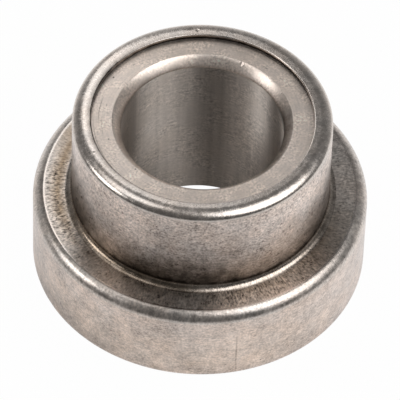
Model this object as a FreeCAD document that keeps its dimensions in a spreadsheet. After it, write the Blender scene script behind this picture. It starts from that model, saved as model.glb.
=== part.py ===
# Flanged sleeve bearing: a stepped outer sleeve and the inner ring that turns in it.
# Millimetres, +Z up along the bearing's axis, origin at the centre of the base.
import FreeCAD, Part
import os

import Sketcher

# Each driving size: its alias in the sheet, its value and what it measures.
SIZES = (
    ("total_height", 30.7, "base to the top of the collar"),
    ("flange_height", 14.0, "base to the shoulder"),
    ("bore_dia", 25.0, "shaft bore of the inner ring"),
    ("running_dia", 35.0, "bore of the sleeve, where the ring runs"),
    ("running_clearance", 0.05, "radial gap between the ring and the sleeve"),
    ("collar_wall", 2.5, "wall of the collar round the running bore"),
    ("shoulder_width", 6.0, "step from the collar out to the flange's rim"),
    ("lip_overhang", 0.4, "how far the lip is turned in over the running bore"),
    ("lip_thickness", 0.6, "thickness of the turned-in lip"),
    ("end_float", 0.3, "axial gap between the ring's face and the lip"),
    ("lip_rounding", 1.3, "rolled-over outer edge of the collar"),
    ("lip_edge", 0.15, "chamfer on the inner edge of the lip"),
    ("root_fillet", 1.0, "fillet where the collar meets the shoulder"),
    ("flange_rounding", 1.6, "rounded upper edge of the flange"),
    ("base_chamfer", 0.4, "chamfer round the flange's base"),
    ("lead_in", 0.5, "chamfer at the open end of the running bore"),
    ("mouth_chamfer", 1.5, "chamfer at the shaft bore's mouth"),
    ("ring_edge", 0.25, "chamfer on the ring's other edges"),
)

# Radii and heights that both pieces share, written from the driving sizes.
RUNNING_RADIUS = "dims.running_dia / 2"
COLLAR_RADIUS = RUNNING_RADIUS + " + dims.collar_wall"
FLANGE_RADIUS = COLLAR_RADIUS + " + dims.shoulder_width"
LIP_RADIUS = RUNNING_RADIUS + " - dims.lip_overhang"
LIP_UNDERSIDE = "dims.total_height - dims.lip_thickness"
BORE_RADIUS = "dims.bore_dia / 2"
RING_RADIUS = RUNNING_RADIUS + " - dims.running_clearance"
RING_LENGTH = LIP_UNDERSIDE + " - dims.end_float"

ORIGIN = (-1, 1)
BASE_LINE = -1
START = 1
END = 2
FULL_TURN = 360.0
SAME_PLACE = 1e-5


def add_sheet(doc):
    """Put the driving sizes in a spreadsheet, one row each."""
    sheet = doc.addObject("Spreadsheet::Sheet", "dims")
    for row, (alias, value, meaning) in enumerate(SIZES, 1):
        sheet.set(f"A{row}", meaning)
        sheet.set(f"B{row}", str(value))
        sheet.setAlias(f"B{row}", alias)
    doc.recompute()
    return sheet


def add_body(doc, name):
    """Add an empty body whose label names its file."""
    body = doc.addObject("PartDesign::Body", name)
    body.Label = name
    return body


def add_section(body, name):
    """Add an empty sketch on the body's XZ plane: radius across, height up."""
    sketch = body.newObject("Sketcher::SketchObject", name)
    plane = next(item for item in body.Origin.OriginFeatures if item.Role == "XZ_Plane")
    sketch.AttachmentSupport = [(plane, "")]
    sketch.MapMode = "FlatFace"
    return sketch


def value_of(doc, formula):
    """Work out a formula of the driving sizes."""
    return float(doc.dims.evalExpression(formula))


def draw_corners(doc, sketch, corners):
    """Draw a closed outline of straight sides through (radius, height) formulas."""
    points = [FreeCAD.Vector(value_of(doc, radius), value_of(doc, height), 0) for radius, height in corners]
    for start, end in zip(points, points[1:] + points[:1]):
        sketch.addGeometry(Part.LineSegment(start, end), False)
    count = len(corners)
    for side in range(count):
        following = (side + 1) % count
        level = corners[side][1] == corners[following][1]
        sketch.addConstraint(Sketcher.Constraint("Coincident", side, END, following, START))
        sketch.addConstraint(Sketcher.Constraint("Horizontal" if level else "Vertical", side))


def place(sketch, kind, name, first, second, formula):
    """Hold two points a distance apart, DistanceX or DistanceY, by a formula of the driving sizes."""
    guess = value_of(sketch.Document, formula)
    index = sketch.addConstraint(Sketcher.Constraint(kind, *first, *second, guess))
    sketch.renameConstraint(index, name)
    sketch.setExpression(f"Constraints.{name}", formula)


def revolve(body, sketch, name):
    """Turn a section once round the bearing's axis."""
    turned = body.newObject("PartDesign::Revolution", name)
    turned.Profile = sketch
    turned.ReferenceAxis = (sketch, ["V_Axis"])
    turned.Angle = FULL_TURN
    body.Document.recompute()
    return turned


def edge_at(feature, radius, height):
    """Name the feature's circular edge at a radius and a height given as formulas."""
    wanted_radius = value_of(feature.Document, radius)
    wanted_height = value_of(feature.Document, height)
    for number, edge in enumerate(feature.Shape.Edges, 1):
        if not isinstance(edge.Curve, Part.Circle):
            continue
        off_radius = abs(edge.Curve.Radius - wanted_radius)
        off_height = abs(edge.Curve.Center.z - wanted_height)
        if max(off_radius, off_height) < SAME_PLACE:
            return f"Edge{number}"
    raise ValueError(f"{feature.Name} has no edge at {radius}, {height}")


def dress(body, kind, name, size, corners):
    """Round or chamfer the circular edges at the given (radius, height) corners of the body's tip."""
    base = body.Tip
    dressed = body.newObject(f"PartDesign::{kind}", name)
    dressed.Base = (base, [edge_at(base, radius, height) for radius, height in corners])
    dressed.setExpression("Radius" if kind == "Fillet" else "Size", f"dims.{size}")
    body.Document.recompute()


def build_flanged_sleeve(doc):
    """Stepped outer sleeve: solid flange, collar, turned-in lip and running bore."""
    body = add_body(doc, "flanged_sleeve")
    section = add_section(body, "sleeve_section")
    corners = (
        (RUNNING_RADIUS, "0"),
        (FLANGE_RADIUS, "0"),
        (FLANGE_RADIUS, "dims.flange_height"),
        (COLLAR_RADIUS, "dims.flange_height"),
        (COLLAR_RADIUS, "dims.total_height"),
        (LIP_RADIUS, "dims.total_height"),
        (LIP_RADIUS, LIP_UNDERSIDE),
        (RUNNING_RADIUS, LIP_UNDERSIDE),
    )
    draw_corners(doc, section, corners)
    base, rim, shoulder, collar, lip_top, lip_wall, lip_seat = range(len(corners) - 1)
    section.addConstraint(Sketcher.Constraint("PointOnObject", base, START, BASE_LINE))
    place(section, "DistanceX", "running_radius", ORIGIN, (base, START), RUNNING_RADIUS)
    place(section, "DistanceX", "flange_radius", ORIGIN, (rim, START), FLANGE_RADIUS)
    place(section, "DistanceX", "collar_radius", ORIGIN, (collar, START), COLLAR_RADIUS)
    place(section, "DistanceX", "lip_radius", ORIGIN, (lip_wall, START), LIP_RADIUS)
    place(section, "DistanceY", "shoulder_height", ORIGIN, (shoulder, START), "dims.flange_height")
    place(section, "DistanceY", "top_height", ORIGIN, (lip_top, START), "dims.total_height")
    place(section, "DistanceY", "lip_seat_height", ORIGIN, (lip_seat, START), LIP_UNDERSIDE)
    revolve(body, section, "sleeve_turning")
    dress(body, "Fillet", "collar_root", "root_fillet", [(COLLAR_RADIUS, "dims.flange_height")])
    dress(body, "Fillet", "flange_edge", "flange_rounding", [(FLANGE_RADIUS, "dims.flange_height")])
    dress(body, "Fillet", "rolled_lip", "lip_rounding", [(COLLAR_RADIUS, "dims.total_height")])
    dress(body, "Chamfer", "lip_inner_edge", "lip_edge", [(LIP_RADIUS, "dims.total_height")])
    dress(body, "Chamfer", "base_edge", "base_chamfer", [(FLANGE_RADIUS, "0")])
    dress(body, "Chamfer", "ring_lead_in", "lead_in", [(RUNNING_RADIUS, "0")])
    return body


def build_inner_ring(doc):
    """Inner ring: ground journal outside, shaft bore inside, wide chamfer at the bore's mouth."""
    body = add_body(doc, "inner_ring")
    section = add_section(body, "ring_section")
    corners = (
        (BORE_RADIUS, "0"),
        (RING_RADIUS, "0"),
        (RING_RADIUS, RING_LENGTH),
        (BORE_RADIUS, RING_LENGTH),
    )
    draw_corners(doc, section, corners)
    base, journal, face = range(len(corners) - 1)
    section.addConstraint(Sketcher.Constraint("PointOnObject", base, START, BASE_LINE))
    place(section, "DistanceX", "bore_radius", ORIGIN, (base, START), BORE_RADIUS)
    place(section, "DistanceX", "ring_radius", ORIGIN, (journal, START), RING_RADIUS)
    place(section, "DistanceY", "ring_length", ORIGIN, (face, START), RING_LENGTH)
    revolve(body, section, "ring_turning")
    dress(body, "Chamfer", "bore_mouth", "mouth_chamfer", [(BORE_RADIUS, RING_LENGTH)])
    ring_edges = [(RING_RADIUS, RING_LENGTH), (RING_RADIUS, "0"), (BORE_RADIUS, "0")]
    dress(body, "Chamfer", "ring_edges", "ring_edge", ring_edges)
    return body


def check(doc, bodies):
    """Stop if any object failed to build, or a piece isn't one valid solid."""
    for item in doc.Objects:
        if {"Invalid", "Error"} & set(item.State):
            raise RuntimeError(f"{item.Label} failed: {item.State}")
    for body in bodies:
        if body.Shape.isNull() or not body.Shape.isValid() or len(body.Shape.Solids) != 1:
            raise RuntimeError(f"{body.Label} isn't one valid solid")


def main():
    """Build the bearing and write one file for each piece."""
    doc = FreeCAD.newDocument("sleeve_bearing")
    add_sheet(doc)
    bodies = [build_flanged_sleeve(doc), build_inner_ring(doc)]
    doc.recompute()
    check(doc, bodies)
    os.makedirs("parts", exist_ok=True)
    for body in bodies:
        body.Shape.exportStep(f"parts/{body.Label}.step")
        box = body.Shape.optimalBoundingBox(False)
        print(f"{body.Label}: {body.Shape.Volume:.1f} mm3, {box.XLength:.2f} across, {box.ZLength:.2f} high")


main()
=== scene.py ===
"""Looks of a flanged sleeve bearing: a stepped outer sleeve and the ring that turns in it.

The pieces' sizes are millimetres; the meshes, the floor and the lamps are in metres. The frame is
the part's own: +Z along the bearing's axis, the origin at the centre of the base and the front
towards -Y. Azimuths are degrees round the axis from the front, positive to the right.
"""
import logging
import math
from dataclasses import dataclass, field
from enum import Enum

import bpy
import numpy as np
from mathutils import Matrix, Vector


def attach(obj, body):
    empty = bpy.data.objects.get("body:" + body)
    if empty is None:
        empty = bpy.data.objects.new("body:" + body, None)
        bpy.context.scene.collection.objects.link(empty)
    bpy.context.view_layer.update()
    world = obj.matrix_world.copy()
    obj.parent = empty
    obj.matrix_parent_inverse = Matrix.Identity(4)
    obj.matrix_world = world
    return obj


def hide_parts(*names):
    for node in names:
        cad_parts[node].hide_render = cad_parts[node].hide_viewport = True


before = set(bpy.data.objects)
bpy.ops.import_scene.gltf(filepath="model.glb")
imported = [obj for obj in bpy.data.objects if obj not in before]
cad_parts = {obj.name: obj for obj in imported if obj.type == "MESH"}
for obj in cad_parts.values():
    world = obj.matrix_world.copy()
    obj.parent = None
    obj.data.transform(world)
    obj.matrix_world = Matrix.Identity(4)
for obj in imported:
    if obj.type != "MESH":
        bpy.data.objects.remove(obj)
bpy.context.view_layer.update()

LOG = logging.getLogger("sleeve_bearing")
MM = 0.001
MM_PER_M = 1000.0
HALF_TURN = 180.0
FULL_TURN = 360.0

# Fullness at which a rounded corner is a quarter of a circle.
ROUND = 0.5523
# Where a mark gets points of its own, in half widths from its middle.
MARK_SHARES = (-1.0, -0.5, 0.0, 0.5, 1.0)
# Steepness of a smudge round the axis: it is even to 1 - 1 / FADE of its half width, then fades.
FADE = 2.0
# Edges of a mesh that bend by more than this, in degrees, are shaded sharp.
CREASE_ANGLE = 30.0
# Rotation of a brushed finish's stretched highlights, as a share of a full turn.
QUARTER_TURN = 0.25
LEAST_ROUGHNESS = 0.08
# Sockets of a mix node that carry colours.
MIX_COLOURS = (6, 7)
MIX_RESULT = 2

Point = tuple[float, float]
Colour = tuple[float, float, float]
Feed = bpy.types.NodeSocket | float | tuple[float, ...]


class Zone(Enum):
    """Surfaces of the two pieces that are finished differently."""

    BASE = "base"
    RIM = "rim"
    EDGE = "edge"
    SHOULDER = "shoulder"
    ROOT = "root"
    COLLAR = "collar"
    LIP = "lip"
    BRINK = "brink"
    HIDDEN = "hidden"
    FACE = "face"
    FLARE = "flare"
    BORE = "bore"


class Trace(Enum):
    """Per-point traces that the finishes read from a mesh."""

    POLISH = "polish"
    WRINKLE = "wrinkle"
    # Soiling and painted shade: real dirt, and darkening painted into corners, gaps and unlit sides as
    # shade.
    GRIME_AND_SHADE = "grime_and_shade"
    # Stains and painted shade: real stains on the sleeve, and painted shade on the ring's end face.
    STAIN_AND_SHADE = "stain_and_shade"
    TURNING = "turning"
    GRAIN = "grain"


@dataclass(frozen=True)
class Touch:
    """How strongly a zone carries each trace, from 0 to 1."""

    polish: float = 0.0
    wrinkle: float = 0.0
    grime_and_shade: float = 0.0
    stain_and_shade: float = 0.0
    turning: float = 0.0
    grain: float = 0.5


TOUCHES: dict[Zone, Touch] = {
    Zone.BASE: Touch(turning=0.6),
    Zone.RIM: Touch(turning=0.65, grain=0.32),
    Zone.EDGE: Touch(wrinkle=0.25, grain=0.40),
    Zone.SHOULDER: Touch(polish=0.2, wrinkle=0.35, grain=0.55),
    Zone.ROOT: Touch(polish=0.6, wrinkle=0.3),
    Zone.COLLAR: Touch(turning=1.0, grain=0.54),
    Zone.LIP: Touch(polish=0.7, wrinkle=0.10, grain=0.28),
    Zone.BRINK: Touch(polish=1.0, grain=0.0),
    # Painted shade: the hidden walls in the gap under the lip, down the running bore and round the
    # ring's journal are painted dark.
    Zone.HIDDEN: Touch(grime_and_shade=0.95, turning=0.5),
    Zone.FACE: Touch(turning=1.0),
    Zone.FLARE: Touch(polish=0.6, turning=0.3),
    Zone.BORE: Touch(polish=0.4, turning=0.3),
}


@dataclass(frozen=True)
class Mark:
    """A pit, nick or scratch: a small dent at one azimuth and one place on the section.

    The half widths run round the axis and along the section.
    """

    azimuth: float
    radius: float
    height: float
    half_around: float
    half_along: float
    depth: float
    grime_and_shade: float = 0.0
    polish: float = 0.0

    def columns(self) -> list[float]:
        """Return the azimuths, in degrees, at which the mesh needs a column to show the mark."""
        reach = math.degrees(self.half_around / self.radius)
        return [self.azimuth + reach * share for share in MARK_SHARES]


@dataclass(frozen=True)
class Smudge:
    """Soiling, painted shade, stains or wrinkles on one zone.

    It fades over a reach from a place on the section, given by its radius and height, and round the
    axis over a half width on each side of an azimuth.
    """

    zone: Zone
    radius: float
    height: float
    reach: float
    amount: float
    trace: Trace = Trace.GRIME_AND_SHADE
    azimuth: float = 0.0
    half_width: float = FULL_TURN


@dataclass
class Section:
    """A closed outline of radius and height, drawn round one piece with its solid on the left."""

    points: list[Point] = field(default_factory=list)
    zones: list[Zone] = field(default_factory=list)

    def put(self, point: Point | np.ndarray, zone: Zone) -> None:
        """Put down one point."""
        self.points.append((float(point[0]), float(point[1])))
        self.zones.append(zone)

    def line(self, end: Point, zone: Zone, steps: int, marks: tuple[Mark, ...] = ()) -> None:
        """Go straight from the last point to another, with extra points where marks lie.

        Args:
            end: Radius and height of the far end.
            zone: Surface that the line belongs to.
            steps: Number of equal steps.
            marks: Marks on this line, each of which gets points of its own.
        """
        begin = np.array(self.points[-1])
        span = np.array(end) - begin
        length = float(np.linalg.norm(span))
        shares = set(np.linspace(0.0, 1.0, steps + 1)[1:].tolist())
        for mark in marks:
            centre = float(np.dot(np.array((mark.radius, mark.height)) - begin, span)) / length**2
            reach = mark.half_along / length
            shares |= {centre + reach * share for share in MARK_SHARES}
        for share in sorted(share for share in shares if 0.0 < share <= 1.0):
            self.put(begin + span * share, zone)

    def corner(self, corner: Point, end: Point, zone: Zone, steps: int, fullness: float = ROUND) -> None:
        """Go round a corner from the last point.

        Args:
            corner: Radius and height of the sharp corner that is rounded away.
            end: Radius and height of the far end.
            zone: Surface that the rounded corner belongs to.
            steps: Number of steps.
            fullness: 0 for a plain chamfer, ROUND for a circle.
        """
        begin, sharp, last = (np.array(place) for place in (self.points[-1], corner, end))
        first, second = begin + fullness * (sharp - begin), last + fullness * (sharp - last)
        for share in np.linspace(0.0, 1.0, steps + 1)[1:]:
            left = 1.0 - share
            self.put(left**3 * begin + 3.0 * left**2 * share * first
                     + 3.0 * left * share**2 * second + share**3 * last, zone)


@dataclass
class Lathe:
    """Turns a section once round the axis into a closed mesh with its traces and marks."""

    section: Section
    marks: tuple[Mark, ...] = ()
    smudges: tuple[Smudge, ...] = ()
    finishes: dict[Zone, int] = field(default_factory=dict)
    columns: int = 480

    def azimuths(self) -> np.ndarray:
        """Place the mesh's columns: even ones, and more where marks lie.

        Returns:
            The sorted azimuths of the columns, in radians.
        """
        even = np.linspace(-HALF_TURN, HALF_TURN, self.columns, endpoint=False).tolist()
        extra = [angle for mark in self.marks for angle in mark.columns()]
        return np.radians(np.array(sorted(set(even) | set(extra))))

    def normals(self) -> np.ndarray:
        """Work out which way the section faces.

        Returns:
            The outward normal at each point of the section.
        """
        ring = np.array(self.section.points)
        ahead = np.roll(ring, -1, axis=0) - np.roll(ring, 1, axis=0)
        ahead /= np.linalg.norm(ahead, axis=1, keepdims=True)
        return np.stack([ahead[:, 1], -ahead[:, 0]], axis=1)

    def weights(self, mark: Mark, azimuths: np.ndarray) -> np.ndarray:
        """Work out how deep a mark is at each point, as a share of its depth.

        Args:
            mark: The mark.
            azimuths: Azimuth of each column, in radians.

        Returns:
            One row for each point of the section and one value for each column.
        """
        outline = np.array(self.section.points)
        along = np.linalg.norm(outline - np.array((mark.radius, mark.height)), axis=1) / mark.half_along
        turned = (azimuths - math.radians(mark.azimuth) + math.pi) % (2.0 * math.pi) - math.pi
        around = turned * mark.radius / mark.half_around
        return np.clip(1.0 - along[:, None] ** 2 - around[None, :] ** 2, 0.0, 1.0)

    def traces(self, azimuths: np.ndarray) -> dict[Trace, np.ndarray]:
        """Work out the traces that the zones and the smudges leave at each point.

        Args:
            azimuths: Azimuth of each column, in radians.

        Returns:
            For each trace, one row for each point of the section and one value for each column.
        """
        outline, zones = np.array(self.section.points), self.section.zones
        traces: dict[Trace, np.ndarray] = {}
        for trace in Trace:
            touched = [[getattr(TOUCHES[zone], trace.value)] for zone in zones]
            traces[trace] = np.repeat(touched, len(azimuths), axis=1)
        for smudge in self.smudges:
            place = np.array((smudge.radius, smudge.height))
            away = np.linalg.norm(outline - place, axis=1) / smudge.reach
            settled = smudge.amount * np.clip(1.0 - away, 0.0, 1.0)
            settled *= [zone is smudge.zone for zone in zones]
            turned = np.degrees(azimuths) - smudge.azimuth
            aside = np.abs((turned + HALF_TURN) % FULL_TURN - HALF_TURN) / smudge.half_width
            spread = np.clip(FADE - FADE * aside, 0.0, 1.0)
            traces[smudge.trace] = np.maximum(traces[smudge.trace], settled[:, None] * spread)
        return traces

    @staticmethod
    def quads(rows: int, count: int) -> np.ndarray:
        """Join a grid of points, closed both ways, into faces.

        Args:
            rows: Number of points of the section.
            count: Number of columns.

        Returns:
            The four corners of each face.
        """
        first = np.arange(rows)[:, None] * count
        later = (np.arange(rows)[:, None] + 1) % rows * count
        here = np.arange(count)[None, :]
        there = (here + 1) % count
        faces = np.stack([first + here, first + there, later + there, later + here], axis=2)
        return faces.reshape(-1, 4)

    def mesh(self, name: str) -> bpy.types.Mesh:
        """Build the mesh, in metres, with one attribute for each trace.

        Args:
            name: Name of the mesh.

        Returns:
            The closed, smooth-shaded mesh.
        """
        azimuths = self.azimuths()
        outline = np.array(self.section.points)
        outward = self.normals()
        traces = self.traces(azimuths)
        rows, count = len(outline), len(azimuths)
        radius = np.repeat(outline[:, :1], count, axis=1)
        height = np.repeat(outline[:, 1:], count, axis=1)
        for mark in self.marks:
            weight = self.weights(mark, azimuths)
            radius -= weight * mark.depth * outward[:, :1]
            height -= weight * mark.depth * outward[:, 1:]
            for trace, amount in ((Trace.GRIME_AND_SHADE, mark.grime_and_shade), (Trace.POLISH, mark.polish)):
                traces[trace] = np.maximum(traces[trace], np.sqrt(weight) * amount)
        corners = np.stack([radius * np.sin(azimuths), -radius * np.cos(azimuths), height], axis=2) * MM
        mesh = bpy.data.meshes.new(name)
        mesh.from_pydata(corners.reshape(-1, 3).tolist(), [], self.quads(rows, count).tolist())
        for trace, values in traces.items():
            layer = mesh.attributes.new(trace.value, "FLOAT", "POINT")
            layer.data.foreach_set("value", values.astype(np.float32).ravel())
        worn = [self.finishes.get(zone, 0) for zone in self.section.zones]
        mesh.polygons.foreach_set("material_index", np.repeat(np.roll(worn, -1), count).astype(np.int32))
        mesh.shade_smooth()
        mesh.set_sharp_from_angle(angle=math.radians(CREASE_ANGLE))
        mesh.validate()
        return mesh


class Recipe:
    """Adds the nodes of one shader tree and joins them."""

    def __init__(self, tree: bpy.types.NodeTree) -> None:
        """Start from an empty tree."""
        tree.nodes.clear()
        self.tree = tree

    def add(self, kind: str, **settings: object) -> bpy.types.Node:
        """Add a node and set its properties.

        Args:
            kind: Blender's name of the node type.
            **settings: Properties of the node.

        Returns:
            The new node.
        """
        node = self.tree.nodes.new(kind)
        for key, value in settings.items():
            setattr(node, key, value)
        return node

    def feed(self, socket: bpy.types.NodeSocket, value: Feed) -> None:
        """Give a socket its value.

        Args:
            socket: The socket.
            value: Another node's output or a plain value.
        """
        if isinstance(value, bpy.types.NodeSocket):
            self.tree.links.new(value, socket)
        else:
            socket.default_value = value

    def fill(self, node: bpy.types.Node, *values: Feed) -> bpy.types.Node:
        """Feed a node's inputs in their order.

        Args:
            node: The node.
            *values: Another node's output or a plain value for each input.

        Returns:
            The same node.
        """
        for socket, value in zip(node.inputs, values):
            self.feed(socket, value)
        return node

    def sum(self, operation: str, *values: Feed) -> bpy.types.NodeSocket:
        """Work out one arithmetic step, by Blender's name of it, on sockets or numbers."""
        return self.fill(self.add("ShaderNodeMath", operation=operation), *values).outputs[0]

    def vector(self, operation: str, *values: Feed) -> bpy.types.Node:
        """Work out one step, by Blender's name of it, on vectors."""
        return self.fill(self.add("ShaderNodeVectorMath", operation=operation), *values)

    def scaled(self, source: bpy.types.NodeSocket, factor: float) -> bpy.types.NodeSocket:
        """Multiply a vector by a number.

        Args:
            source: The vector.
            factor: The number.

        Returns:
            The longer or shorter vector's socket.
        """
        node = self.vector("SCALE", source)
        self.feed(node.inputs["Scale"], factor)
        return node.outputs[0]

    def window(self, source: bpy.types.NodeSocket, start: float, end: float) -> bpy.types.NodeSocket:
        """Turn a source into 0 below start, 1 above end and a smooth step between."""
        node = self.add("ShaderNodeMapRange", clamp=True, interpolation_type="SMOOTHSTEP")
        return self.fill(node, source, start, end, 0.0, 1.0).outputs[0]

    def slope(self, source: bpy.types.NodeSocket, *ends: float) -> bpy.types.NodeSocket:
        """Turn a source between the first two ends straight into one between the last two."""
        return self.fill(self.add("ShaderNodeMapRange", clamp=True), source, *ends).outputs[0]

    def blend(self, share: Feed, first: Feed, second: Feed, mode: str = "MIX") -> bpy.types.NodeSocket:
        """Mix two colours.

        Args:
            share: Share of the second colour.
            first: First colour.
            second: Second colour.
            mode: Blender's name of the blending mode.

        Returns:
            The mixed colour's socket.
        """
        node = self.add("ShaderNodeMix", data_type="RGBA", blend_type=mode)
        self.feed(node.inputs["Factor"], share)
        for socket, value in zip(MIX_COLOURS, (first, second)):
            solid = value if isinstance(value, bpy.types.NodeSocket) else (*value, 1.0)
            self.feed(node.inputs[socket], solid)
        return node.outputs[MIX_RESULT]

    def trace(self, trace: Trace) -> bpy.types.NodeSocket:
        """Read one of the mesh's traces."""
        return self.add("ShaderNodeAttribute", attribute_name=trace.value).outputs["Fac"]

    def noise(self, place: bpy.types.NodeSocket, scale: float, detail: float = 2.0,
              roughness: float = 0.5) -> bpy.types.NodeSocket:
        """Add smooth noise.

        Args:
            place: Coordinates to read it at.
            scale: Number of features for each unit of the coordinates.
            detail: Number of finer layers.
            roughness: Strength of the finer layers.

        Returns:
            The noise's socket, from 0 to 1.
        """
        node = self.add("ShaderNodeTexNoise", noise_dimensions="3D")
        self.feed(node.inputs["Vector"], place)
        self.feed(node.inputs["Scale"], scale)
        self.feed(node.inputs["Detail"], detail)
        self.feed(node.inputs["Roughness"], roughness)
        return node.outputs["Fac"]

    def close(self, kind: str, surface: bpy.types.Node) -> None:
        """Join the last shader to the tree's output, a node of the given kind."""
        self.feed(self.add(kind).inputs["Surface"], surface.outputs[0])


@dataclass
class Places:
    """Coordinates on a turned piece, in millimetres, for the patterns of a finish."""

    recipe: Recipe
    around_radius: float = 24.0

    def __post_init__(self) -> None:
        """Work out the plain place, the heading from the axis and the run along the section."""
        make = self.recipe
        self.plain = make.scaled(make.add("ShaderNodeTexCoord").outputs["Object"], MM_PER_M)
        parts = make.fill(make.add("ShaderNodeSeparateXYZ"), self.plain).outputs
        flat = make.fill(make.add("ShaderNodeCombineXYZ"), parts[0], parts[1]).outputs[0]
        self.heading = make.vector("NORMALIZE", flat).outputs[0]
        self.run = make.sum("SUBTRACT", parts[2], make.vector("LENGTH", flat).outputs["Value"])

    def lay(self, around: float, along: float) -> bpy.types.NodeSocket:
        """Give coordinates whose unit is one feature of a directional pattern.

        Args:
            around: Length of a feature round the axis.
            along: Length of a feature along the section.

        Returns:
            The coordinates' socket.
        """
        make = self.recipe
        turned = make.scaled(self.heading, self.around_radius / around)
        raised = make.add("ShaderNodeCombineXYZ")
        make.feed(raised.inputs["Z"], make.sum("MULTIPLY", self.run, 1.0 / along))
        return make.vector("ADD", turned, raised.outputs[0]).outputs[0]


@dataclass(frozen=True)
class Pattern:
    """One pattern of a finish: its feature size and how much it changes tone, roughness and relief.

    Relief is the pattern's height in millimetres. A patch size above 0 makes the pattern come and go
    in patches of about that size.
    """

    around: float
    along: float
    tone: float
    roughness: float
    relief: float
    detail: float = 2.0
    trace: Trace | None = None
    patch: float = 0.0


@dataclass(frozen=True)
class SteelFinish:
    """Bare steel with patterns of grain, turning marks and wear.

    Mottle and blotch are the sizes, in millimetres, of the patches of colour and of uneven stains,
    soiling and painted shade.
    A window holds the two values of noise between which a patch begins and is complete. A least
    value and a span say how weak a pattern or the soiling and painted shade get, and how much stronger
    they can be.
    """

    name: str
    warm: Colour
    cool: Colour
    dirt_and_shade: Colour
    stain_and_shade: Colour
    roughness: float
    polished: float
    patterns: tuple[Pattern, ...]
    mottle: float = 5.0
    blotch: float = 1.6
    metallic: float = 1.0
    brushed: float = 0.0
    cloud_detail: float = 4.0
    mottle_roughness: float = 0.6
    blotch_roughness: float = 0.65
    mottle_window: Point = (0.3, 0.7)
    patch_window: Point = (0.35, 0.65)
    patch_least: float = 0.3
    patch_span: float = 1.4
    uneven_least: float = 0.4
    uneven_span: float = 1.2

    def draw(self, make: Recipe, places: Places, pattern: Pattern) -> bpy.types.NodeSocket:
        """Draw one pattern about zero, weighed by its trace.

        Args:
            make: Recipe of the material.
            places: Coordinates on the piece.
            pattern: The pattern.

        Returns:
            The pattern's socket, about from -1 to 1.
        """
        if pattern.around == pattern.along:
            value = make.noise(places.plain, 1.0 / pattern.around, pattern.detail)
        else:
            value = make.noise(places.lay(pattern.around, pattern.along), 1.0, pattern.detail)
        centred = make.sum("MULTIPLY_ADD", value, 2.0, -1.0)
        if pattern.patch:
            there = make.window(make.noise(places.plain, 1.0 / pattern.patch), *self.patch_window)
            strength = make.sum("MULTIPLY_ADD", there, self.patch_span, self.patch_least)
            centred = make.sum("MULTIPLY", centred, strength)
        if pattern.trace is None:
            return centred
        return make.sum("MULTIPLY", centred, make.trace(pattern.trace))

    def weave(self, make: Recipe, places: Places) -> tuple[Feed, Feed, Feed]:
        """Add up the patterns.

        Args:
            make: Recipe of the material.
            places: Coordinates on the piece.

        Returns:
            The tone, about 1, the roughness, and the relief in millimetres.
        """
        tone: Feed = 1.0
        rough: Feed = self.roughness
        relief: Feed = 0.0
        for pattern in self.patterns:
            value = self.draw(make, places, pattern)
            if pattern.tone:
                tone = make.sum("MULTIPLY_ADD", value, pattern.tone, tone)
            if pattern.roughness:
                rough = make.sum("MULTIPLY_ADD", value, pattern.roughness, rough)
            if pattern.relief:
                relief = make.sum("MULTIPLY_ADD", value, pattern.relief, relief)
        return tone, rough, relief

    def colour(self, make: Recipe, places: Places, tone: Feed) -> bpy.types.NodeSocket:
        """Mix the steel's colour with its stains, its tone, its soiling and its painted shade.

        Args:
            make: Recipe of the material.
            places: Coordinates on the piece.
            tone: Tone of the patterns, about 1.

        Returns:
            The colour's socket.
        """
        clouds = make.noise(places.plain, 1.0 / self.mottle, self.cloud_detail, self.mottle_roughness)
        colour = make.blend(make.window(clouds, *self.mottle_window), self.cool, self.warm)
        specks = make.noise(places.plain, 1.0 / self.blotch, self.cloud_detail, self.blotch_roughness)
        uneven = make.sum("MULTIPLY_ADD", specks, self.uneven_span, self.uneven_least)
        stained_and_shaded, soiled_and_shaded = (
            make.sum("MINIMUM", make.sum("MULTIPLY", make.trace(trace), uneven), 1.0)
            for trace in (Trace.STAIN_AND_SHADE, Trace.GRIME_AND_SHADE)
        )
        # Tint towards the stain colour: real stains, and painted shade on the ring's face.
        colour = make.blend(stained_and_shaded, colour, self.stain_and_shade)
        grey = make.fill(make.add("ShaderNodeCombineColor"), tone, tone, tone)
        colour = make.blend(1.0, colour, grey.outputs[0], "MULTIPLY")
        # Darken towards the dark colour: real soiling, and painted shade in corners, gaps and unlit
        # sides.
        return make.blend(soiled_and_shaded, colour, self.dirt_and_shade)

    def material(self) -> bpy.types.Material:
        """Build the material.

        Returns:
            The finished material.
        """
        material = bpy.data.materials.new(self.name)
        material.use_nodes = True
        make = Recipe(material.node_tree)
        places = Places(make)
        tone, rough, relief = self.weave(make, places)
        shine = make.sum("MULTIPLY", make.trace(Trace.POLISH), self.polished - self.roughness)
        rough = make.sum("MAXIMUM", make.sum("ADD", rough, shine), LEAST_ROUGHNESS)
        tangent = make.add("ShaderNodeTangent", direction_type="RADIAL", axis="Z")
        bump = make.add("ShaderNodeBump")
        make.feed(bump.inputs["Strength"], 1.0)
        make.feed(bump.inputs["Distance"], MM)
        make.feed(bump.inputs["Height"], relief)
        steel = make.add("ShaderNodeBsdfPrincipled")
        make.feed(steel.inputs["Base Color"], self.colour(make, places, tone))
        make.feed(steel.inputs["Metallic"], self.metallic)
        make.feed(steel.inputs["Roughness"], rough)
        make.feed(steel.inputs["Anisotropic"], self.brushed)
        make.feed(steel.inputs["Anisotropic Rotation"], QUARTER_TURN)
        make.feed(steel.inputs["Tangent"], tangent.outputs[0])
        make.feed(steel.inputs["Normal"], bump.outputs[0])
        make.close("ShaderNodeOutputMaterial", steel)
        return material


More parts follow.
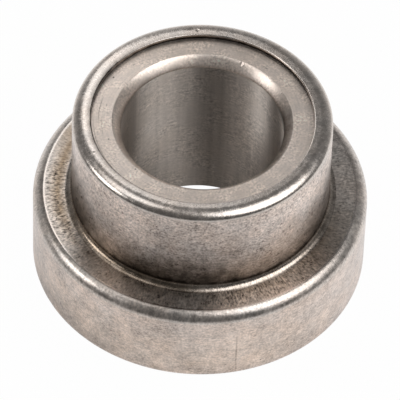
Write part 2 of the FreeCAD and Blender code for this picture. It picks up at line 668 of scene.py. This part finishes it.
TUMBLED_STEEL = SteelFinish(
    name="tumbled_steel",
    warm=(0.66, 0.583, 0.525),
    cool=(0.63, 0.58, 0.54),
    dirt_and_shade=(0.05, 0.04, 0.031),
    stain_and_shade=(0.46, 0.33, 0.21),
    roughness=0.34,
    polished=0.22,
    patterns=(
        Pattern(around=0.40, along=0.40, tone=0.90, roughness=0.10, relief=0.0140, trace=Trace.GRAIN),
        Pattern(around=1.3, along=1.3, tone=0.25, roughness=0.10, relief=0.0120),
        Pattern(around=0.28, along=0.56, tone=2.50, roughness=0.06, relief=0.0240, trace=Trace.WRINKLE),
    ),
)

TURNED_STEEL = SteelFinish(
    name="turned_steel",
    warm=(0.71, 0.595, 0.527),
    cool=(0.665, 0.588, 0.545),
    dirt_and_shade=(0.05, 0.04, 0.031),
    stain_and_shade=(0.55, 0.41, 0.28),
    roughness=0.31,
    polished=0.28,
    brushed=0.45,
    patterns=(
        Pattern(around=0.31, along=0.31, tone=1.80, roughness=0.15, relief=0.0100, trace=Trace.GRAIN),
        Pattern(around=0.9, along=0.26, tone=0.60, roughness=0.03, relief=0.0020, trace=Trace.TURNING),
        Pattern(around=1.3, along=1.3, tone=0.28, roughness=0.05, relief=0.0060),
        Pattern(around=4.5, along=4.5, tone=0.40, roughness=0.05, relief=0.0),
    ),
)

GROUND_STEEL = SteelFinish(
    name="ground_steel",
    warm=(0.85, 0.735, 0.65),
    cool=(0.82, 0.725, 0.655),
    dirt_and_shade=(0.02, 0.016, 0.012),
    # On this finish the stain colour serves only as painted shade on the ring's face.
    stain_and_shade=(0.40, 0.34, 0.29),
    roughness=0.45,
    polished=0.34,
    brushed=0.4,
    patterns=(
        Pattern(around=0.35, along=0.35, tone=0.44, roughness=0.03, relief=0.0015, patch=2.5),
        Pattern(around=9.0, along=0.22, tone=0.16, roughness=0.03, relief=0.0010, trace=Trace.TURNING),
        Pattern(around=2.5, along=2.5, tone=0.22, roughness=0.03, relief=0.0),
    ),
)

HONED_STEEL = SteelFinish(
    name="honed_steel",
    warm=(0.61, 0.545, 0.49),
    cool=(0.60, 0.545, 0.50),
    dirt_and_shade=(0.02, 0.016, 0.012),
    stain_and_shade=(0.40, 0.34, 0.29),
    roughness=0.51,
    polished=0.51,
    brushed=1.0,
    patterns=(
        Pattern(around=0.35, along=0.35, tone=0.36, roughness=0.03, relief=0.0010, patch=4.0),
        Pattern(around=3.0, along=0.24, tone=1.00, roughness=0.03, relief=0.0008,
                trace=Trace.TURNING, patch=4.0),
        Pattern(around=1.6, along=26.0, tone=0.20, roughness=0.0, relief=0.0),
    ),
)


@dataclass
class Piece:
    """One turned piece of the bearing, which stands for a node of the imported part."""

    node: str
    body: str
    slot: str
    finishes: tuple[SteelFinish, ...]
    second_zones: tuple[Zone, ...]

    def section(self) -> Section:
        """Draw the piece's outline."""
        raise NotImplementedError

    def marks(self) -> tuple[Mark, ...]:
        """List the marks that wear has left on the piece."""
        return ()

    def smudges(self) -> tuple[Smudge, ...]:
        """List the places where dirt, stains or wrinkles lie."""
        return ()

    def build(self) -> bpy.types.Object:
        """Turn the mesh and hang it on its body in place of its node.

        Returns:
            The new object.
        """
        second = {zone: 1 for zone in self.second_zones}
        mesh = Lathe(self.section(), self.marks(), self.smudges(), second).mesh(f"{self.node}_turned")
        shape = bpy.data.objects.new(f"{self.node}_turned", mesh)
        bpy.context.scene.collection.objects.link(shape)
        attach(shape, self.body)
        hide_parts(self.node)
        return shape

    def dress(self, shape: bpy.types.Object) -> None:
        """Give the mesh its finishes."""
        for finish in self.finishes:
            shape.data.materials.append(finish.material())


@dataclass
class FlangedSleeve(Piece):
    """The stepped outer sleeve: flange, shoulder, collar, rolled lip and running bore."""

    node: str = "flanged_sleeve"
    body: str = "sleeve"
    slot: str = "tumbled_steel"
    finishes: tuple[SteelFinish, ...] = (TUMBLED_STEEL, TURNED_STEEL)
    second_zones: tuple[Zone, ...] = (Zone.RIM, Zone.COLLAR)
    total_height: float = 30.7
    shoulder_height: float = 14.0
    shoulder_middle: float = 22.1
    flange_radius: float = 26.0
    collar_radius: float = 20.0
    running_radius: float = 17.5
    lip_radius: float = 17.1
    lip_underside: float = 30.1
    lip_crest: float = 18.12
    lip_drop: float = 1.15
    lip_dish: float = 0.02
    lip_edge: float = 0.2
    root_fillet: float = 1.0
    root_width: float = 1.15
    flange_rounding: float = 1.55
    flange_fullness: float = 0.46
    flange_crease: float = 0.2
    flange_brink: float = 0.15
    base_chamfer: float = 0.4
    lead_in: float = 0.5

    def section(self) -> Section:
        """Draw the sleeve's outline from the base round over the lip and down the running bore.

        Returns:
            The closed outline.
        """
        outline = Section()
        flange, collar, lip = self.flange_radius, self.collar_radius, self.lip_radius
        shoulder, top = self.shoulder_height, self.total_height
        flange_top = flange - self.flange_rounding
        lip_inside = lip + self.lip_edge
        lip_middle = (self.lip_crest + lip_inside) / 2.0
        lip_brink = top - self.lip_dish
        outline.put((self.running_radius + self.lead_in, 0.0), Zone.BASE)
        outline.line((flange - self.base_chamfer, 0.0), Zone.BASE, steps=8)
        outline.line((flange, self.base_chamfer), Zone.EDGE, steps=2)
        outline.line((flange, shoulder - self.flange_rounding), Zone.RIM, steps=26, marks=self.marks())
        outline.corner((flange, shoulder - self.flange_crease), (flange_top, shoulder), Zone.EDGE,
                       steps=20, fullness=self.flange_fullness)
        outline.line((flange_top - self.flange_brink, shoulder), Zone.BRINK, steps=2)
        outline.line((collar + self.root_width, shoulder), Zone.SHOULDER, steps=12)
        outline.corner((collar, shoulder), (collar, shoulder + self.root_fillet), Zone.ROOT, steps=14)
        outline.line((collar, top - self.lip_drop), Zone.COLLAR, steps=26)
        outline.corner((collar, top), (self.lip_crest, top), Zone.LIP, steps=24)
        outline.corner((lip_middle, top), (lip_inside, lip_brink), Zone.LIP, steps=8)
        outline.corner((lip, lip_brink), (lip, lip_brink - self.lip_edge), Zone.BRINK, steps=8)
        outline.line((lip, self.lip_underside), Zone.HIDDEN, steps=3)
        outline.line((self.running_radius, self.lip_underside), Zone.HIDDEN, steps=2)
        outline.line((self.running_radius, self.lead_in), Zone.HIDDEN, steps=10)
        return outline

    def smudges(self) -> tuple[Smudge, ...]:
        """List the soiling, the painted shade, the stains and the wrinkled patches, from the rim up to
        the lip.

        Returns:
            The smudges.
        """
        foot = (self.collar_radius, self.shoulder_height)
        root_foot = (self.collar_radius + self.root_width, self.shoulder_height)
        root_top = (self.collar_radius, self.shoulder_height + self.root_fillet)
        middle = (self.shoulder_middle, self.shoulder_height)
        brink = (self.flange_radius - self.flange_rounding, self.shoulder_height)
        lip = (self.lip_radius, self.total_height)
        return (
            Smudge(Zone.RIM, self.flange_radius, 3.0, 14.0, 0.25, Trace.STAIN_AND_SHADE, -10.0, 80.0),
            # Painted reflection of the floor's shadow, with some soiling: the rim is darker low down on
            # the front-left.
            Smudge(Zone.RIM, self.flange_radius, 0.0, 8.0, 0.20, Trace.GRIME_AND_SHADE, -52.0, 30.0),
            # Painted shade: the flange's rounding is darker next to the shoulder on the front-left.
            Smudge(Zone.EDGE, *brink, 0.7, 0.50, Trace.GRIME_AND_SHADE, -45.0, 60.0),
            Smudge(Zone.SHOULDER, *brink, 1.8, 0.30, Trace.GRIME_AND_SHADE, -105.0, 50.0),
            Smudge(Zone.SHOULDER, *middle, 1.7, 0.45, Trace.GRIME_AND_SHADE, -108.0, 60.0),
            Smudge(Zone.SHOULDER, *middle, 5.0, 0.35, Trace.GRIME_AND_SHADE, -130.0, 36.0),
            Smudge(Zone.SHOULDER, *middle, 1.8, 0.85, Trace.STAIN_AND_SHADE, -108.0, 62.0),
            Smudge(Zone.SHOULDER, *middle, 4.0, 0.80, Trace.STAIN_AND_SHADE, -132.0, 30.0),
            Smudge(Zone.SHOULDER, *middle, 6.0, 1.00, Trace.WRINKLE, -80.0, 34.0),
            Smudge(Zone.SHOULDER, *middle, 6.0, 0.80, Trace.WRINKLE, 30.0, 36.0),
            # Painted shade: the shoulder is darker towards the collar on the front-right and the
            # front-left.
            Smudge(Zone.SHOULDER, *foot, 9.0, 0.32, Trace.GRIME_AND_SHADE, 50.0, 36.0),
            Smudge(Zone.SHOULDER, *foot, 7.0, 0.46, Trace.GRIME_AND_SHADE, -38.0, 20.0),
            Smudge(Zone.SHOULDER, *foot, 6.0, 0.35, Trace.STAIN_AND_SHADE, -34.0, 34.0),
            Smudge(Zone.SHOULDER, *foot, 7.0, 0.50, Trace.STAIN_AND_SHADE, 45.0, 45.0),
            # Painted shade: the root fillet is darkened in its corner, and its highlight is dimmed at
            # the front, the left and the right.
            Smudge(Zone.ROOT, *root_foot, 0.8, 0.60),
            Smudge(Zone.ROOT, *root_top, 0.8, 0.95),
            Smudge(Zone.ROOT, *foot, 2.2, 0.86, Trace.GRIME_AND_SHADE, -24.0, 34.0),
            Smudge(Zone.ROOT, *foot, 1.5, 0.85, Trace.GRIME_AND_SHADE, -95.0, 45.0),
            Smudge(Zone.ROOT, *foot, 1.7, 0.90, Trace.GRIME_AND_SHADE, 90.0, 46.0),
            Smudge(Zone.ROOT, *foot, 2.5, 0.80, Trace.STAIN_AND_SHADE, -40.0, 60.0),
            Smudge(Zone.ROOT, *foot, 2.5, 0.35, Trace.STAIN_AND_SHADE, 50.0, 60.0),
            # Painted shade: the collar is darker towards its foot in the corner, most at the front and
            # the front-left.
            Smudge(Zone.COLLAR, *foot, 13.0, 0.86),
            Smudge(Zone.COLLAR, *foot, 15.0, 0.86, Trace.GRIME_AND_SHADE, -62.0, 42.0),
            Smudge(Zone.COLLAR, *foot, 19.0, 0.87, Trace.GRIME_AND_SHADE, 0.0, 36.0),
            Smudge(Zone.COLLAR, *foot, 7.0, 0.40, Trace.STAIN_AND_SHADE, -35.0, 75.0),
            # Darker towards the lip's inner edge, most on the left, with a dark inner edge on the left.
            Smudge(Zone.LIP, *lip, 0.9, 0.45),
            Smudge(Zone.LIP, *lip, 1.0, 0.80, Trace.GRIME_AND_SHADE, -90.0, 75.0),
            Smudge(Zone.BRINK, *lip, 0.8, 0.95, Trace.GRIME_AND_SHADE, -85.0, 85.0),
        )

    def marks(self) -> tuple[Mark, ...]:
        """List the marks: an upright scratch on the rim, a dot beside it and two dents in the lip.

        Returns:
            The marks.
        """
        return (
            Mark(14.2, self.flange_radius, 5.0, 0.18, 5.4, 0.06, grime_and_shade=0.30, polish=1.0),
            Mark(23.0, self.flange_radius, 2.0, 0.14, 0.14, 0.03, grime_and_shade=0.8),
            Mark(-176.0, self.lip_crest, self.total_height, 0.30, 0.25, 0.04, polish=1.0),
            Mark(-64.5, self.lip_crest, self.total_height, 0.16, 0.16, 0.03, grime_and_shade=0.7),
        )


@dataclass
class InnerRing(Piece):
    """The ring inside the sleeve: ground end face, flared mouth and shaft bore."""

    node: str = "inner_ring"
    body: str = "ring"
    slot: str = "ground_steel"
    finishes: tuple[SteelFinish, ...] = (GROUND_STEEL, HONED_STEEL)
    second_zones: tuple[Zone, ...] = (Zone.BORE,)
    bore_radius: float = 12.5
    ring_radius: float = 17.45
    length: float = 29.8
    mouth_width: float = 1.45
    mouth_depth: float = 1.55
    mouth_fullness: float = 0.22
    edge: float = 0.25
    pit_depth: float = 0.06
    scuff_depth: float = 0.015
    scuff_grime: float = 0.35
    nick_inset: float = 1.1
    nick_drop: float = 0.1
    dot_drop: float = 0.2

    def section(self) -> Section:
        """Draw the ring's outline from the base up the journal, over the face and down the bore.

        Returns:
            The closed outline.
        """
        outline = Section()
        bore, ring, top = self.bore_radius, self.ring_radius, self.length
        outline.put((bore + self.edge, 0.0), Zone.BASE)
        outline.line((ring - self.edge, 0.0), Zone.BASE, steps=8)
        outline.line((ring, self.edge), Zone.HIDDEN, steps=2)
        outline.line((ring, top - self.edge), Zone.HIDDEN, steps=6)
        outline.line((ring - self.edge, top), Zone.FLARE, steps=2)
        outline.line((bore + self.mouth_width, top), Zone.FACE, steps=18,
                     marks=(*self.pits(), *self.scuffs()))
        outline.corner((bore, top), (bore, top - self.mouth_depth), Zone.FLARE, steps=18,
                       fullness=self.mouth_fullness)
        outline.line((bore, self.edge), Zone.BORE, steps=20)
        return outline

    def pits(self) -> tuple[Mark, ...]:
        """List the small black pits in the end face, by azimuth, radius and half width.

        Returns:
            The pits.
        """
        places = ((-121.1, 16.31, 0.15), (-73.4, 14.87, 0.13), (-44.6, 14.15, 0.16))
        return tuple(Mark(angle, radius, self.length, size, size, self.pit_depth, grime_and_shade=1.0)
                     for angle, radius, size in places)

    def scuffs(self) -> tuple[Mark, ...]:
        """List the faint scuffs in the end face, by azimuth, radius and half widths.

        Returns:
            The scuffs.
        """
        places = (
            (-100.0, 15.05, 0.45, 0.10), (-136.0, 15.63, 0.35, 0.10), (-119.7, 14.05, 0.12, 0.12),
            (140.0, 14.87, 0.40, 0.12), (121.6, 14.91, 0.14, 0.30), (-94.0, 14.64, 0.12, 0.25),
            (-70.0, 16.72, 6.00, 0.07), (-96.0, 15.95, 3.20, 0.06), (-84.0, 15.50, 2.20, 0.06),
            (-58.0, 15.75, 1.60, 0.06), (-30.0, 15.20, 1.80, 0.06), (12.0, 16.30, 2.60, 0.06),
        )
        return tuple(Mark(angle, radius, self.length, around, along, self.scuff_depth, self.scuff_grime)
                     for angle, radius, around, along in places)

    def smudges(self) -> tuple[Smudge, ...]:
        """List the painted shadow under the lip's back, the soiling in the flare's sides, and the
        painted shade on the face.

        Returns:
            The smudges.
        """
        brink = (self.ring_radius, self.length)
        throat = (self.bore_radius, self.length - self.mouth_depth)
        return (
            # Painted shadow: the face is darkened at its outer edge under the lip's back.
            Smudge(Zone.FACE, *brink, 1.5, 0.75, Trace.GRIME_AND_SHADE, 160.0, 85.0),
            # Painted shade: the face is darker at its back and its front than at its sides.
            Smudge(Zone.FACE, *brink, 12.0, 0.42, Trace.STAIN_AND_SHADE, 180.0, 50.0),
            Smudge(Zone.FACE, *brink, 12.0, 0.28, Trace.STAIN_AND_SHADE, 8.0, 50.0),
            Smudge(Zone.FLARE, *throat, 6.0, 0.74, Trace.GRIME_AND_SHADE, 76.0, 48.0),
            Smudge(Zone.FLARE, *throat, 2.4, 0.35, Trace.GRIME_AND_SHADE, -84.0, 40.0),
        )

    def marks(self) -> tuple[Mark, ...]:
        """List the marks: the pits, the scuffs, a nick across the flare's outer edge and a dot on it.

        Returns:
            The marks.
        """
        radius = self.bore_radius + self.nick_inset
        nick = Mark(155.3, radius, self.length - self.nick_drop, 0.28, 0.50, 0.055, polish=1.0)
        dot = Mark(118.5, radius, self.length - self.dot_drop, 0.12, 0.15, 0.03, grime_and_shade=0.6)
        return (*self.pits(), *self.scuffs(), nick, dot)


@dataclass(frozen=True)
class SoftBox:
    """A soft lamp that faces the bearing: where it hangs, how large it looks and its brightness.

    The slant is measured from straight above, and the width and depth are the lamp's sizes as seen
    from the bearing, all in degrees. The distance is in metres. Brightness is the lamp's own
    radiance, where 1 is white.
    """

    name: str
    slant: float
    azimuth: float
    distance: float
    width: float
    depth: float
    brightness: float

    def build(self, target: Vector) -> None:
        """Hang the lamp so that it faces the bearing.

        Args:
            target: The place that it faces.
        """
        lamp = bpy.data.lights.new(self.name, "AREA")
        lamp.shape = "ELLIPSE"
        lamp.size = 2.0 * self.distance * math.tan(math.radians(self.width) / 2.0)
        lamp.size_y = 2.0 * self.distance * math.tan(math.radians(self.depth) / 2.0)
        lamp.energy = self.brightness * math.pi * (math.pi / 4.0 * lamp.size * lamp.size_y)
        holder = bpy.data.objects.new(self.name, lamp)
        slant, turn = math.radians(self.slant), math.radians(self.azimuth)
        aside = math.sin(slant)
        towards = Vector((aside * math.sin(turn), -aside * math.cos(turn), math.cos(slant)))
        holder.location = target + towards * self.distance
        holder.rotation_mode = "QUATERNION"
        holder.rotation_quaternion = towards.to_track_quat("Z", "Y")
        holder.visible_camera = False
        bpy.context.scene.collection.objects.link(holder)


@dataclass
class Studio:
    """The pale floor, the soft lamps, the dim room and the camera.

    Lengths are metres, but the camera's aim, distance and lens are millimetres. Directions in the
    room run from -1 to 1, to the back and upwards.
    """

    target: tuple[float, float, float] = (0.0, 0.0, 0.02)
    floor_radius: float = 4.0
    floor_step: int = 5
    floor_colour: Colour = (0.9, 0.9, 0.9)
    touching: float = 0.0001
    # Painted shadow: the floor's glow in reflections is off within the first radius and fades in by the
    # second.
    painted_shadow_radius: float = 0.020
    painted_shadow_edge: float = 0.030
    # Painted shade: the floor's glow in reflections weakens from the back-right to the front-left along
    # this direction.
    lit_towards: tuple[float, float, float] = (0.53, 1.0, 0.0)
    lit_from: float = -0.055
    lit_to: float = 0.015
    seen_white: float = 0.98
    mirrored_near: float = 0.25
    mirrored_far: float = 1.0
    room_front: float = 0.13
    room_back: float = 0.20
    room_depth: Point = (-0.6, 0.9)
    backdrop: float = 0.42
    backdrop_rise: Point = (0.15, 0.65)
    backdrop_depth: Point = (0.0, 0.8)
    lamps: tuple[SoftBox, ...] = (
        SoftBox("right_soft_box", 32.0, 68.0, 0.25, 48.5, 52.0, 2.4),
        SoftBox("left_soft_box", 56.0, -80.0, 0.25, 24.0, 24.0, 3.8),
        SoftBox("top_panel", 24.0, -90.0, 0.13, 28.0, 28.0, 1.6),
        SoftBox("back_strip", 47.6, -160.0, 0.13, 14.0, 28.0, 1.6),
        SoftBox("back_panel", 38.0, -174.3, 0.13, 14.0, 14.0, 1.6),
    )
    elevation: float = 49.504
    roll: float = 2.014
    aim: tuple[float, float, float] = (0.01, -1.83, 13.43)
    camera_distance: float = 771.57
    lens: float = 447.45
    nearest: float = 0.01
    farthest: float = 20.0

    def floor_material(self) -> bpy.types.Material:
        """Build the floor's finish: matt, shown nearly white, open from below and to what touches it.
        Its glow in reflections carries a painted shadow round the bearing and painted shade towards the
        front-left.

        Returns:
            The floor's material.
        """
        material = bpy.data.materials.new("pale_floor")
        material.use_nodes = True
        make = Recipe(material.node_tree)
        paths = make.add("ShaderNodeLightPath").outputs
        spot = make.add("ShaderNodeNewGeometry").outputs
        seen = make.sum("MULTIPLY", paths["Is Camera Ray"], self.seen_white)
        mirrored = make.sum("MAXIMUM", paths["Is Glossy Ray"], paths["Is Transmission Ray"])
        # Painted shadow: no glow in reflections under the bearing, fading in outside it.
        away = make.vector("LENGTH", spot["Position"]).outputs["Value"]
        lit = make.window(away, self.painted_shadow_radius, self.painted_shadow_edge)
        # Painted shade: the glow in reflections is weaker towards the front-left.
        along = make.vector("DOT_PRODUCT", spot["Position"], self.lit_towards).outputs["Value"]
        slope = make.slope(along, self.lit_from, self.lit_to, self.mirrored_near, self.mirrored_far)
        share = make.sum("MULTIPLY_ADD", make.sum("MULTIPLY", mirrored, lit), slope, seen)
        matt = make.add("ShaderNodeBsdfDiffuse")
        make.feed(matt.inputs["Color"], (*self.floor_colour, 1.0))
        white = make.add("ShaderNodeEmission")
        top = make.fill(make.add("ShaderNodeMixShader"), share, matt.outputs[0], white.outputs[0])
        standing = make.sum("LESS_THAN", paths["Ray Length"], self.touching)
        hidden = make.sum("MAXIMUM", spot["Backfacing"], standing)
        below = make.add("ShaderNodeBsdfTransparent")
        sides = make.fill(make.add("ShaderNodeMixShader"), hidden, top.outputs[0], below.outputs[0])
        make.close("ShaderNodeOutputMaterial", sides)
        return material

    def lay_floor(self) -> None:
        """Lay the round floor at the bearing's base."""
        turns = [math.radians(angle) for angle in range(0, int(FULL_TURN), self.floor_step)]
        reach = self.floor_radius
        corners = [(reach * math.cos(turn), reach * math.sin(turn), 0.0) for turn in turns]
        mesh = bpy.data.meshes.new("floor")
        mesh.from_pydata(corners, [], [tuple(range(len(corners)))])
        mesh.materials.append(self.floor_material())
        floor = bpy.data.objects.new("floor", mesh)
        bpy.context.scene.collection.objects.link(floor)

    def light_room(self) -> None:
        """Light the room: dim at the front, lighter at the back, with a pale backdrop low down there."""
        world = bpy.data.worlds.new("room")
        world.use_nodes = True
        make = Recipe(world.node_tree)
        parts = make.add("ShaderNodeSeparateXYZ")
        make.feed(parts.inputs[0], make.add("ShaderNodeTexCoord").outputs["Generated"])
        back, up = parts.outputs["Y"], parts.outputs["Z"]
        glow = make.slope(back, *self.room_depth, self.room_front, self.room_back)
        low = make.sum("SUBTRACT", 1.0, make.window(up, *self.backdrop_rise))
        behind = make.sum("MULTIPLY", low, make.window(back, *self.backdrop_depth))
        air = make.add("ShaderNodeBackground")
        make.feed(air.inputs["Strength"], make.sum("MULTIPLY_ADD", behind, self.backdrop, glow))
        make.close("ShaderNodeOutputWorld", air)
        bpy.context.scene.world = world

    def stand_camera(self) -> None:
        """Stand the camera in front of the bearing, looking down at it."""
        tilt, roll = math.radians(self.elevation), math.radians(self.roll)
        forward = Vector((0.0, math.cos(tilt), -math.sin(tilt)))
        level = Vector((1.0, 0.0, 0.0))
        rise = level.cross(forward)
        across = level * math.cos(roll) + rise * math.sin(roll)
        up = rise * math.cos(roll) - level * math.sin(roll)
        place = (Vector(self.aim) - forward * self.camera_distance) * MM
        turned = Matrix((across, up, -forward)).transposed().to_4x4()
        lens = bpy.data.cameras.new("camera")
        lens.lens = self.lens
        lens.clip_start = self.nearest
        lens.clip_end = self.farthest
        camera = bpy.data.objects.new("camera", lens)
        camera.matrix_world = Matrix.Translation(place) @ turned
        bpy.context.scene.collection.objects.link(camera)
        bpy.context.scene.camera = camera

    def build(self) -> None:
        """Set up the whole studio."""
        bpy.context.scene.view_settings.view_transform = "Standard"
        self.lay_floor()
        self.light_room()
        for lamp in self.lamps:
            lamp.build(Vector(self.target))
        self.stand_camera()


def main() -> None:
    """Build the studio and the two pieces, and report each."""
    logging.basicConfig(level=logging.INFO, format="%(message)s")
    Studio().build()
    for piece in (FlangedSleeve(), InnerRing()):
        shape = piece.build()
        piece.dress(shape)
        points, faces = len(shape.data.vertices), len(shape.data.polygons)
        LOG.info("%s: %d points, %d faces", shape.name, points, faces)


if __name__ == "__main__":
    main()
